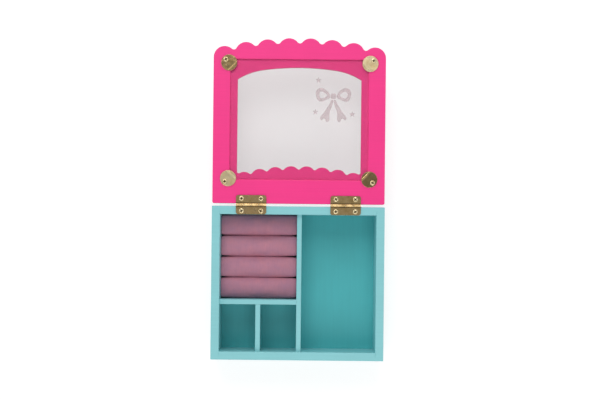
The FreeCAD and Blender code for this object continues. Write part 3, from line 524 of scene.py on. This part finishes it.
def stamped_brass(name, colour, tarnish, painted_crevice_shade, roughness):
    """Lacquered brass, stamped or turned and then tumbled.

    Bright yellow metal whose slightly wavy surface breaks up what it mirrors, with brown films some
    millimetres across, fine scratches from tumbling and painted shade: a dark colour laid into crevices
    about 1 mm wide, where shade falls.
    """
    film_size, filmed_roughness = 7 * MM, 1.5
    crevice_reach = 1.5 * MM
    wave_size, wave_depth = 8 * MM, 0.35 * MM
    scratch_width, scratch_length, scratch_depth = 0.3 * MM, 5 * MM, 0.02 * MM
    scratch_lean = math.radians(35)
    material, tree = new_material(name)
    place = add_node(tree, "ShaderNodeTexCoord").outputs["Object"]
    film = add_node(tree, "ShaderNodeTexNoise", {
        "Vector": place, "Scale": 1 / film_size, "Detail": 4.0, "Roughness": 0.55})
    film_cover = add_node(tree, "ShaderNodeMapRange", {
        "Value": film.outputs["Fac"], "From Min": 0.4, "From Max": 0.75})
    filmed = add_node(tree, "ShaderNodeMix", {
        MIX_SHARE: film_cover.outputs["Result"], MIX_FIRST: opaque(colour),
        MIX_SECOND: opaque(tarnish)}, data_type="RGBA")
    # Painted shade: the ambient occlusion darkens the colour in crevices and round the foot of raised parts,
    # where shade falls.
    crevices = add_node(tree, "ShaderNodeAmbientOcclusion", {"Distance": crevice_reach}, samples=8)
    clean = add_node(tree, "ShaderNodeMapRange", {
        "Value": crevices.outputs["AO"], "From Min": 0.6, "From Max": 0.97})
    shaded_in_crevices = add_node(tree, "ShaderNodeMix", {
        MIX_SHARE: clean.outputs["Result"], MIX_FIRST: opaque(painted_crevice_shade),
        MIX_SECOND: filmed.outputs[MIXED]}, data_type="RGBA")
    gloss = add_node(tree, "ShaderNodeMapRange", {
        "Value": film.outputs["Fac"], "From Min": 0.3, "From Max": 0.7, "To Min": roughness,
        "To Max": roughness * filmed_roughness})
    waves = add_node(tree, "ShaderNodeTexNoise", {"Vector": place, "Scale": 1 / wave_size, "Detail": 1.0})
    waved = add_node(tree, "ShaderNodeBump", {
        "Strength": 1.0, "Distance": wave_depth, "Height": waves.outputs["Fac"]})
    scratch_place = add_node(tree, "ShaderNodeMapping", {
        "Vector": place, "Rotation": (0, 0, scratch_lean),
        "Scale": (1 / scratch_width, 1 / scratch_length, 1 / scratch_width)})
    scratches = add_node(tree, "ShaderNodeTexNoise", {
        "Vector": scratch_place.outputs["Vector"], "Scale": 1.0, "Detail": 2.0})
    scratched = add_node(tree, "ShaderNodeBump", {
        "Strength": 0.15, "Distance": scratch_depth, "Height": scratches.outputs["Fac"],
        "Normal": waved.outputs["Normal"]})
    shader = add_node(tree, "ShaderNodeBsdfPrincipled", {
        "Base Color": shaded_in_crevices.outputs[MIXED], "Metallic": 1.0, "Roughness": gloss.outputs["Result"],
        "Normal": scratched.outputs["Normal"]})
    add_node(tree, "ShaderNodeOutputMaterial", {"Surface": shader.outputs["BSDF"]})
    return material


def clear_acrylic(name, tint):
    """Cast acrylic sheet, sawn to size.

    Clear and smooth, with a grey tint that is partly the sheet's own and partly painted shade, darkening
    what is seen through it as the shade under the lid would, and the hairline scratches of wiping. It lets
    the light of lamps through.
    """
    wipe_width, wipe_length = 0.5 * MM, 30 * MM
    wipe_lean = math.radians(28)
    material, tree = new_material(name)
    place = add_node(tree, "ShaderNodeTexCoord").outputs["Object"]
    wipe_place = add_node(tree, "ShaderNodeMapping", {
        "Vector": place, "Rotation": (0, 0, wipe_lean),
        "Scale": (1 / wipe_width, 1 / wipe_length, 1 / wipe_width)})
    wipes = add_node(tree, "ShaderNodeTexNoise", {
        "Vector": wipe_place.outputs["Vector"], "Scale": 1.0, "Detail": 2.0})
    gloss = add_node(tree, "ShaderNodeMapRange", {
        "Value": wipes.outputs["Fac"], "From Min": 0.55, "From Max": 0.8, "To Min": 0.01, "To Max": 0.06})
    shader = add_node(tree, "ShaderNodeBsdfPrincipled", {
        "Base Color": opaque(tint), "Roughness": gloss.outputs["Result"], "IOR": 1.49,
        "Transmission Weight": 1.0})
    passed = add_node(tree, "ShaderNodeBsdfTransparent", {"Color": WHITE})
    shadow = add_node(tree, "ShaderNodeLightPath").outputs["Is Shadow Ray"]
    sheet = add_node(tree, "ShaderNodeMixShader", {
        0: shadow, 1: shader.outputs["BSDF"], 2: passed.outputs["BSDF"]})
    add_node(tree, "ShaderNodeOutputMaterial", {"Surface": sheet.outputs["Shader"]})
    return material


def screen_ink(name, colour, alpha):
    """Screen ink on acrylic.

    A pale, thin film that lets the light through, mottled by the holes of a coarse screen.
    """
    hole_size = 1.4 * MM
    material, tree = new_material(name)
    place = add_node(tree, "ShaderNodeTexCoord").outputs["Object"]
    holes = add_node(tree, "ShaderNodeTexNoise", {
        "Vector": place, "Scale": 1 / hole_size, "Detail": 3.0, "Roughness": 0.6})
    shade = add_node(tree, "ShaderNodeMix", {
        MIX_SHARE: holes.outputs["Fac"], MIX_FIRST: opaque(colour, 0.85),
        MIX_SECOND: opaque(colour, 1.12)}, data_type="RGBA")
    shader = add_node(tree, "ShaderNodeBsdfPrincipled", {
        "Base Color": shade.outputs[MIXED], "Roughness": 0.6, "Alpha": alpha})
    add_node(tree, "ShaderNodeOutputMaterial", {"Surface": shader.outputs["BSDF"]})
    return material


class JEWELBOX_OT_paint_box(bpy.types.Operator):
    """Paint the walls, dividers and floor of the box turquoise"""

    bl_idname = "jewel_box.paint_box"
    bl_label = "Paint the box"

    def execute(self, context):
        settings = context.scene.jewel_box.paint
        inside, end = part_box("right_wall")
        glue_lines = {"X": inside.x, "Y": end.y}
        boards = satin_paint("satin_turquoise_on_fibreboard", settings.box_colour, settings.rubbed_width,
                             "X", glue_lines)
        for name in BOX_BOARDS:
            dress(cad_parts[name], boards)
        # Painted shade: the floor's darker turquoise stands in for the shade on the compartments' floors.
        floor = satin_paint("satin_turquoise_on_plywood_darkened_as_painted_shade", settings.floor_colour, settings.rubbed_width,
                            "Y", glue_lines)
        dress(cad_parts["floor_panel"], floor)
        return {"FINISHED"}


class JEWELBOX_OT_paint_lid(bpy.types.Operator):
    """Paint the two boards of the lid pink"""

    bl_idname = "jewel_box.paint_lid"
    bl_label = "Paint the lid"

    def execute(self, context):
        settings = context.scene.jewel_box.paint
        glue_lines = {"Z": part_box("lid_face_board")[1].z}
        paint = satin_paint("satin_pink_on_fibreboard", settings.lid_colour, settings.rubbed_width,
                            "X", glue_lines)
        for name in LID_BOARDS:
            dress(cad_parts[name], paint)
        return {"FINISHED"}


class JEWELBOX_OT_glaze_lid(bpy.types.Operator):
    """Polish the clear pane of the lid"""

    bl_idname = "jewel_box.glaze_lid"
    bl_label = "Glaze the lid"

    def execute(self, context):
        settings = context.scene.jewel_box.pane
        dress(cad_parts["window_pane"], clear_acrylic("clear_cast_acrylic", settings.tint))
        return {"FINISHED"}


def smooth_outline(points):
    """A closed flat curve through eight points in millimetres, drawn from a divided circle."""
    bpy.ops.object.select_all(action="DESELECT")
    bpy.ops.curve.primitive_bezier_circle_add(radius=MM, location=(0, 0, 0))
    bpy.ops.object.mode_set(mode="EDIT")
    bpy.ops.curve.select_all(action="SELECT")
    bpy.ops.curve.subdivide()
    bpy.ops.curve.handle_type_set(type="AUTOMATIC")
    bpy.ops.object.mode_set(mode="OBJECT")
    curve = bpy.context.active_object
    curve.data.dimensions = "2D"
    for point, (x, y) in zip(curve.data.splines[0].bezier_points, points):
        point.co = (x * MM, y * MM, 0)
    return curve


def ink_patch(film, *outlines):
    """A film of ink inside its outlines: the first is the edge, and any other is a hole."""
    patch = merged([smooth_outline(outline) for outline in outlines])
    patch.data.fill_mode = "BOTH"
    patch.data.resolution_u = BOW_CURVE_STEPS
    patch.data.extrude = film / 2
    bpy.ops.object.convert(target="MESH")
    return bpy.context.active_object


def ink_star(film, x, y):
    """A small star of ink: a ring of corners with every other one drawn in."""
    bpy.ops.object.select_all(action="DESELECT")
    bpy.ops.mesh.primitive_circle_add(vertices=2 * STAR_POINTS, radius=STAR_RADIUS, fill_type="NGON",
                                      location=(x * MM, y * MM, -film / 2))
    bpy.ops.object.mode_set(mode="EDIT")
    bpy.ops.mesh.select_mode(type="VERT")
    bpy.ops.mesh.select_all(action="DESELECT")
    star = bpy.context.active_object
    mesh = bmesh.from_edit_mesh(star.data)
    for vertex in mesh.verts:
        vertex.select_set(vertex.index % 2 == 1)
    mesh.select_flush_mode()
    bmesh.update_edit_mesh(star.data)
    bpy.ops.transform.resize(value=(STAR_WAIST, STAR_WAIST, 1), center_override=star.location)
    bpy.ops.mesh.select_all(action="SELECT")
    bpy.ops.mesh.extrude_region_move(TRANSFORM_OT_translate={"value": (0, 0, film)})
    bpy.ops.mesh.select_all(action="SELECT")
    bpy.ops.mesh.normals_make_consistent(inside=False)
    bpy.ops.object.mode_set(mode="OBJECT")
    bpy.ops.object.transform_apply(location=True, rotation=True, scale=True)
    return star


def on_side(outline, side):
    """The points of a right-hand outline on the right side, 1, or on the left side, -1."""
    return [(x * side, y) for x, y in outline]


class JEWELBOX_OT_print_bow(bpy.types.Operator):
    """Print a pale ribbon bow and three stars on the outer face of the pane"""

    bl_idname = "jewel_box.print_bow"
    bl_label = "Print the bow"

    def execute(self, context):
        settings = context.scene.jewel_box.pane
        film = settings.film
        patches = [ink_patch(film, BOW_KNOT)]
        for side in (1, -1):
            patches.append(ink_patch(film, on_side(BOW_LOOP, side), on_side(BOW_LOOP_HOLE, side)))
            patches.append(ink_patch(film, on_side(BOW_TAIL, side)))
        for x, y in BOW_STARS:
            patches.append(ink_star(film, x, y))
        bow = merged(patches)
        low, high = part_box("window_pane")
        middle = (low + high) / 2
        under = low.z - INK_GAP - film / 2
        bow.location = (middle.x + settings.bow_across, middle.y + settings.bow_up, under)
        ink = screen_ink("pale_screen_ink", settings.print_colour, settings.print_alpha)
        settle(bow, "printed_bow", "lid", "clear_acrylic", ink)
        return {"FINISHED"}


class JEWELBOX_OT_fit_brass(bpy.types.Operator):
    """Give the hinges and the turn buttons their brass"""

    bl_idname = "jewel_box.fit_brass"
    bl_label = "Fit the hinges and turn buttons"

    def execute(self, context):
        settings = context.scene.jewel_box.brass
        dull = (settings.dull_brass_and_painted_dark_reflection_colour, settings.tarnish_and_painted_dark_reflection_colour, settings.painted_crevice_shade_colour)
        bright = (settings.bright_brass_and_painted_bright_reflection_colour, settings.dull_brass_and_painted_dark_reflection_colour, settings.painted_crevice_shade_colour)
        # The two button finishes are one brass with painted reflection: one pair gets dark colours, the
        # other bright ones, for what each mirrors.
        finishes = (
            (HINGE_PARTS, "tarnished_hinge_brass", dull, settings.hinge_roughness),
            (BUTTONS_PAINTED_DARK, "button_brass_with_painted_dark_reflection", dull, settings.dark_painted_button_roughness),
            (BUTTONS_PAINTED_BRIGHT, "button_brass_with_painted_bright_reflection", bright, settings.bright_painted_button_roughness),
        )
        for names, finish, colours, roughness in finishes:
            brass = stamped_brass(finish, *colours, roughness)
            for name in names:
                dress(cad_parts[name], brass)
        return {"FINISHED"}


def turned(profile, steps):
    """Draw a profile of (radius, height) points by extrusion and spin it about Z into a closed solid."""
    bpy.ops.object.select_all(action="DESELECT")
    bpy.ops.mesh.primitive_plane_add(size=MM, location=(0, 0, 0))
    bpy.ops.object.mode_set(mode="EDIT")
    bpy.ops.mesh.merge(type="CENTER")
    radius, height = profile[0]
    bpy.ops.transform.translate(value=(radius, 0, height))
    for (radius, height), (next_radius, next_height) in zip(profile, profile[1:]):
        bpy.ops.mesh.extrude_region_move(
            TRANSFORM_OT_translate={"value": (next_radius - radius, 0, next_height - height)})
    bpy.ops.mesh.select_all(action="SELECT")
    bpy.ops.mesh.spin(steps=steps, angle=2 * math.pi, center=(0, 0, 0), axis=(0, 0, 1))
    bpy.ops.mesh.select_all(action="SELECT")
    bpy.ops.mesh.remove_doubles(threshold=SAME_POINT)
    bpy.ops.mesh.normals_make_consistent(inside=False)
    bpy.ops.object.mode_set(mode="OBJECT")
    return bpy.context.active_object


def tapered_bar(length, width, depth, top):
    """A bar whose underside is narrower than its top, to cut one arm of a cross recess."""
    bpy.ops.object.select_all(action="DESELECT")
    bpy.ops.mesh.primitive_cube_add(size=1, location=(0, 0, top - depth / 2), scale=(length, width, depth))
    bpy.ops.object.transform_apply(location=True, rotation=True, scale=True)
    bpy.ops.object.mode_set(mode="EDIT")
    bpy.ops.mesh.select_mode(type="FACE")
    bpy.ops.mesh.select_all(action="DESELECT")
    bar = bpy.context.active_object
    mesh = bmesh.from_edit_mesh(bar.data)
    for face in mesh.faces:
        if face.normal.z < -0.5:
            face.select_set(True)
    bmesh.update_edit_mesh(bar.data)
    bpy.ops.transform.resize(value=RECESS_TAPER, center_override=(0, 0, 0))
    bpy.ops.object.mode_set(mode="OBJECT")
    return bar


def wood_screw(settings, head_radius, length):
    """One countersunk wood screw, point down, with the rim of its head at Z = 0 and a cross recess."""
    shank, crown = settings.shank_radius, settings.crown
    profile = [(0, crown)]
    for step in reversed(range(CROWN_STEPS)):
        turn = math.radians(90 * step / CROWN_STEPS)
        profile.append((head_radius * math.cos(turn), crown * math.sin(turn)))
    profile += [(shank, -settings.head_depth), (shank, -length * STRAIGHT_SHANK), (0, -length)]
    screw = turned(profile, SCREW_SIDES)
    over_crown = 1.5 * crown
    bar = tapered_bar(settings.recess_length, settings.recess_width,
                      settings.recess_depth + crown, over_crown)
    for turn in (0, 90):
        bar.rotation_euler.z = math.radians(turn)
        modify(screw, "BOOLEAN", object=bar, operation="DIFFERENCE", solver="EXACT")
    bpy.data.objects.remove(bar)
    alone(screw)
    bpy.ops.object.shade_smooth_by_angle(angle=math.radians(30))
    return screw


class JEWELBOX_OT_drive_screws(bpy.types.Operator):
    """Drive twelve brass screws with cross recesses, each stopped at its own angle"""

    bl_idname = "jewel_box.drive_screws"
    bl_label = "Drive the screws"

    def execute(self, context):
        settings = context.scene.jewel_box.brass
        brass = stamped_brass("tumbled_screw_brass", settings.bright_brass_and_painted_bright_reflection_colour, settings.dull_brass_and_painted_dark_reflection_colour,
                              settings.painted_crevice_shade_colour, settings.screw_roughness)
        low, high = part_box("hinge_box_screws")
        leaf_low, leaf_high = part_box("left_hinge_box_leaf")
        head = (high.y - low.y) / 2
        outer_x = low.x + head
        inner_x = leaf_low.x + leaf_high.x - outer_x
        screw = wood_screw(settings, head - settings.head_room, high.z - settings.crown - low.z)
        stops = iter(SCREW_STOPS)
        for group, body in SCREW_GROUPS:
            low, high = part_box(group)
            if group == "turn_button_screws":
                columns = (low.x + head, high.x - head)
                rows = (low.y + head, high.y - head)
            else:
                # The two screws of the left hinge's leaf, and their mirror images in the right hinge's.
                columns = (outer_x, inner_x, -inner_x, -outer_x)
                rows = ((low.y + high.y) / 2,)
            places = [(x, y) for y in rows for x in columns]
            driven = []
            for x, y in places:
                copy = twin(screw)
                turn = Matrix.Rotation(math.radians(next(stops)), 4, "Z")
                copy.data.transform(Matrix.Translation((x, y, high.z - settings.crown)) @ turn)
                driven.append(copy)
            settle(merged(driven), f"{group}_driven", body, "brass", brass, group)
        bpy.data.objects.remove(screw)
        return {"FINISHED"}


def stuff(cover, settings):
    """Swell a cover over its filling with cloth under pressure, and keep no point further than the swell."""
    start = [vertex.co.copy() for vertex in cover.data.vertices]
    cloth = cover.modifiers.new("Stuffing", "CLOTH")
    cloth.settings.quality = 5
    cloth.settings.mass = 0.02
    cloth.settings.use_pressure = True
    cloth.settings.uniform_pressure_force = settings.pressure
    cloth.settings.effector_weights.gravity = 0
    cloth.point_cache.frame_end = STUFFING_FRAMES
    scene = bpy.context.scene
    for number in range(1, STUFFING_FRAMES + 1):
        scene.frame_set(number)
    alone(cover)
    bpy.ops.object.modifier_apply(modifier=cloth.name)
    scene.frame_set(1)
    for vertex, origin in zip(cover.data.vertices, start):
        step = vertex.co - origin
        if step.length > settings.swell:
            vertex.co = origin + step * (settings.swell / step.length)


def stuffed_cover(settings):
    """The cover of the first ring roll, drawn in by its slack and swollen again by its filling."""
    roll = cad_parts[RING_ROLLS[0]]
    cover = bpy.data.objects.new("roll_cover", roll.data.copy())
    bpy.context.scene.collection.objects.link(cover)
    alone(cover)
    bpy.ops.object.mode_set(mode="EDIT")
    bpy.ops.mesh.select_all(action="SELECT")
    bpy.ops.mesh.remove_doubles(threshold=SAME_POINT)
    bpy.ops.object.mode_set(mode="OBJECT")
    modify(cover, "REMESH", mode="VOXEL", voxel_size=settings.voxel)
    modify(cover, "DISPLACE", mid_level=0.0, strength=-settings.slack)
    modify(cover, "SMOOTH", factor=0.5, iterations=1)
    stuff(cover, settings)
    modify(cover, "SUBSURF", levels=1, render_levels=1)
    return cover


def bed_in(cover, low, high, half_width, dent):
    """Dent a cover softly and press it flat where it meets the bay, the floor and its neighbours."""
    middle = (low + high) / 2
    dented = [vertex.co + vertex.normal * dent * noise.noise(vertex.co / DENT_SIZE)
              for vertex in cover.data.vertices]
    for vertex, place in zip(cover.data.vertices, dented):
        place.x = min(max(place.x, low.x), high.x)
        place.y = min(max(place.y, middle.y - half_width), middle.y + half_width)
        place.z = max(place.z, low.z)
        vertex.co = place


class JEWELBOX_OT_cover_rolls(bpy.types.Operator):
    """Cover the ring rolls with velvet, stuff one and set its copies side by side"""

    bl_idname = "jewel_box.cover_rolls"
    bl_label = "Cover the ring rolls"

    def execute(self, context):
        settings = context.scene.jewel_box.rolls
        velvet = short_velvet("short_pile_velvet", settings.velvet_colour, settings.nap_colour,
                              settings.bloom_colour)
        cover = stuffed_cover(settings)
        first_low, first_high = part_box(RING_ROLLS[0])
        pitch = first_low.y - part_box(RING_ROLLS[1])[0].y
        centred = Matrix.Translation(-(first_low + first_high) / 2)
        spread = Matrix.Scale(1 + 2 * settings.press / (first_high.x - first_low.x), 4, (1, 0, 0))
        for index, name in enumerate(RING_ROLLS):
            low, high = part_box(name)
            roll = twin(cover)
            # Every other roll is the first one turned end for end.
            turn = Matrix.Rotation(math.pi * (index % 2), 4, "Z")
            roll.data.transform(Matrix.Translation((low + high) / 2) @ turn @ spread @ centred)
            bed_in(roll, low, high, pitch / 2 - SEAM_GAP, settings.dent)
            alone(roll)
            bpy.ops.object.shade_smooth()
            settle(roll, f"{name}_cover", "box", "pink_velvet", velvet, name)
        bpy.data.objects.remove(cover)
        return {"FINISHED"}


def white_paper(name, colour, glow):
    """Matt white paper, lit up a little where it is seen or mirrored, so that it shows nearly white."""
    material, tree = new_material(name)
    rays = add_node(tree, "ShaderNodeLightPath").outputs
    seen = add_node(tree, "ShaderNodeMath", {
        0: rays["Is Camera Ray"], 1: rays["Is Glossy Ray"]}, operation="ADD")
    shown = add_node(tree, "ShaderNodeMath", {
        0: seen.outputs["Value"], 1: rays["Is Transmission Ray"]}, operation="ADD", use_clamp=True)
    light = add_node(tree, "ShaderNodeMath", {0: shown.outputs["Value"], 1: glow}, operation="MULTIPLY")
    shader = add_node(tree, "ShaderNodeBsdfPrincipled", {
        "Base Color": opaque(colour), "Roughness": 0.9, "Specular IOR Level": 0.0,
        "Emission Color": WHITE, "Emission Strength": light.outputs["Value"]})
    add_node(tree, "ShaderNodeOutputMaterial", {"Surface": shader.outputs["BSDF"]})
    return material


def lay_floor(settings, place):
    """A wide sheet of paper under the box."""
    bpy.ops.object.select_all(action="DESELECT")
    bpy.ops.mesh.primitive_plane_add(size=FLOOR_SIZE, location=place)
    floor = bpy.context.active_object
    floor.name = "paper_floor"
    dress(floor, white_paper("white_paper_floor", settings.floor_colour, settings.floor_glow))


def light_room(scene, settings):
    """A white room that is bright low down and dim overhead."""
    # The walls end and the ceiling begins at these heights, on a sphere of radius 1.
    wall_top, ceiling = 0.3, 0.92
    world = bpy.data.worlds.new("white_room")
    world.use_nodes = True
    scene.world = world
    tree = world.node_tree
    tree.nodes.clear()
    direction = add_node(tree, "ShaderNodeTexCoord").outputs["Generated"]
    height = add_node(tree, "ShaderNodeSeparateXYZ", {"Vector": direction})
    light = add_node(tree, "ShaderNodeMapRange", {
        "Value": height.outputs["Z"], "From Min": wall_top, "From Max": ceiling,
        "To Min": settings.wall_light, "To Max": settings.ceiling_light})
    sky = add_node(tree, "ShaderNodeBackground", {"Color": WHITE, "Strength": light.outputs["Result"]})
    add_node(tree, "ShaderNodeOutputWorld", {"Surface": sky.outputs["Background"]})


def hang_softbox(name, target, offset, size, watts):
    """A square softbox at an offset from its target, turned to face it."""
    place = target + Vector(offset)
    aim = (target - place).to_track_quat("-Z", "Y").to_euler()
    bpy.ops.object.light_add(type="AREA", location=place, rotation=aim)
    lamp = bpy.context.active_object
    lamp.name = name
    lamp.data.size = size
    lamp.data.energy = watts


def set_camera(scene, settings):
    """A camera that looks straight down, with a lens that frames the box at its rim."""
    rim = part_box("front_wall")[1].z
    bpy.ops.object.camera_add(
        location=(settings.camera_x, settings.camera_y, rim + settings.camera_rise),
        rotation=(0, 0, settings.roll))
    camera = bpy.context.active_object
    camera.data.sensor_width = SENSOR_WIDTH
    camera.data.lens = SENSOR_WIDTH * settings.camera_rise / settings.frame_width
    camera.data.shift_y = settings.shift
    camera.data.clip_end = CAMERA_REACH
    scene.camera = camera


class JEWELBOX_OT_set_studio(bpy.types.Operator):
    """Lay the paper floor, hang the softboxes and set the camera over the open box"""

    bl_idname = "jewel_box.set_studio"
    bl_label = "Set the studio"

    def execute(self, context):
        settings = context.scene.jewel_box.studio
        scene = context.scene
        scene.view_settings.view_transform = "Standard"
        low, high = cad_box
        middle = (low + high) / 2
        lay_floor(settings, (middle.x, middle.y, low.z))
        light_room(scene, settings)
        size = settings.softbox_size
        hang_softbox("back_softbox", middle, settings.back_offset, size, settings.back_watts)
        hang_softbox("front_softbox", middle, settings.front_offset, size, settings.front_watts)
        set_camera(scene, settings)
        return {"FINISHED"}


class JEWELBOX_PT_workshop(bpy.types.Panel):
    """The steps that finish the jewellery box, in order"""

    bl_idname = "JEWELBOX_PT_workshop"
    bl_label = "Jewellery box"
    bl_space_type = "VIEW_3D"
    bl_region_type = "UI"
    bl_category = "Jewellery box"

    def draw(self, context):
        for operator in OPERATORS:
            self.layout.operator(operator.bl_idname)


OPERATORS = (
    JEWELBOX_OT_set_studio, JEWELBOX_OT_paint_box, JEWELBOX_OT_paint_lid, JEWELBOX_OT_glaze_lid,
    JEWELBOX_OT_print_bow, JEWELBOX_OT_fit_brass, JEWELBOX_OT_drive_screws, JEWELBOX_OT_cover_rolls,
)
SETTINGS = (PaintSettings, RollSettings, BrassSettings, PaneSettings, StudioSettings, JewelBoxSettings)
CLASSES = SETTINGS + OPERATORS + (JEWELBOX_PT_workshop,)


def register():
    """Add the settings, the steps and the panel to Blender."""
    for cls in CLASSES:
        bpy.utils.register_class(cls)
    bpy.types.Scene.jewel_box = bpy.props.PointerProperty(
        type=JewelBoxSettings, name="Jewellery box", description="Sizes and colours of the finish")


def unregister():
    """Take them out again, the last one first."""
    del bpy.types.Scene.jewel_box
    for cls in reversed(CLASSES):
        bpy.utils.unregister_class(cls)


def main():
    """Finish the box step by step."""
    register()
    bpy.ops.jewel_box.set_studio()
    bpy.ops.jewel_box.paint_box()
    bpy.ops.jewel_box.paint_lid()
    bpy.ops.jewel_box.glaze_lid()
    bpy.ops.jewel_box.print_bow()
    bpy.ops.jewel_box.fit_brass()
    bpy.ops.jewel_box.drive_screws()
    bpy.ops.jewel_box.cover_rolls()


if __name__ == "__main__":
    main()
